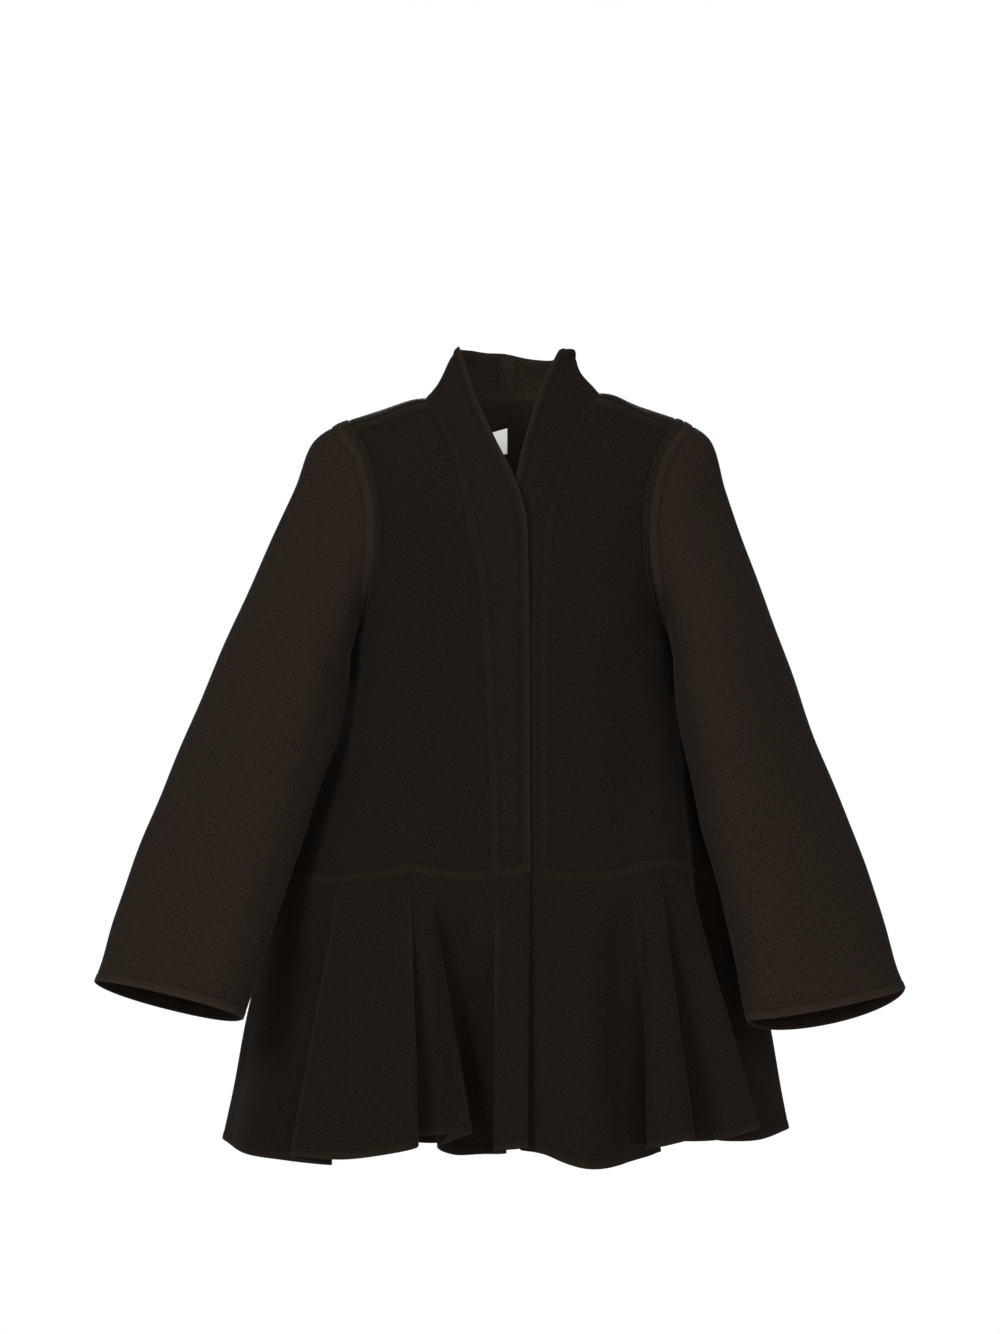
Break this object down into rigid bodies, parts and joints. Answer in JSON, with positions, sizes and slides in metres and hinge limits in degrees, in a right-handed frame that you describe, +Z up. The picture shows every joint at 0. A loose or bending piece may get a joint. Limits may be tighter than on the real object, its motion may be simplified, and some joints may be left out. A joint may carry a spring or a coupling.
{
  "type": "short coat",
  "caption": "Short trapeze coat in thick dark brown wool with a standing band collar, long wide sleeves and a folded skirt, hollow and upright as when worn.",
  "frame": {"origin": "between the shoulders, level with the base of the neck, where the wearer carries the coat", "axes": "+X towards the wearer's left, +Y from the front to the back, +Z up"},
  "size_m": [0.8468, 0.3796, 0.8559],
  "materials": {
    "wool_body": "brushed double-faced wool, dark brown",
    "wool_band": "brushed double-faced wool, dark brown",
    "wool_sleeve": "brushed double-faced wool, dark brown",
    "wool_skirt": "brushed double-faced wool, dark brown",
    "label": "plain woven tape, off-white, blank"
  },
  "bodies": {
    "root": {"front_body_right": "wool_body", "front_body_left": "wool_body", "back_body": "wool_body", "collar_band_right": "wool_band", "collar_band_left": "wool_band", "sleeve_right": "wool_sleeve", "sleeve_left": "wool_sleeve", "peplum_front_right": "wool_skirt", "peplum_front_left": "wool_skirt", "peplum_back": "wool_skirt", "neck_label": "label"}
  },
  "joints": []
}
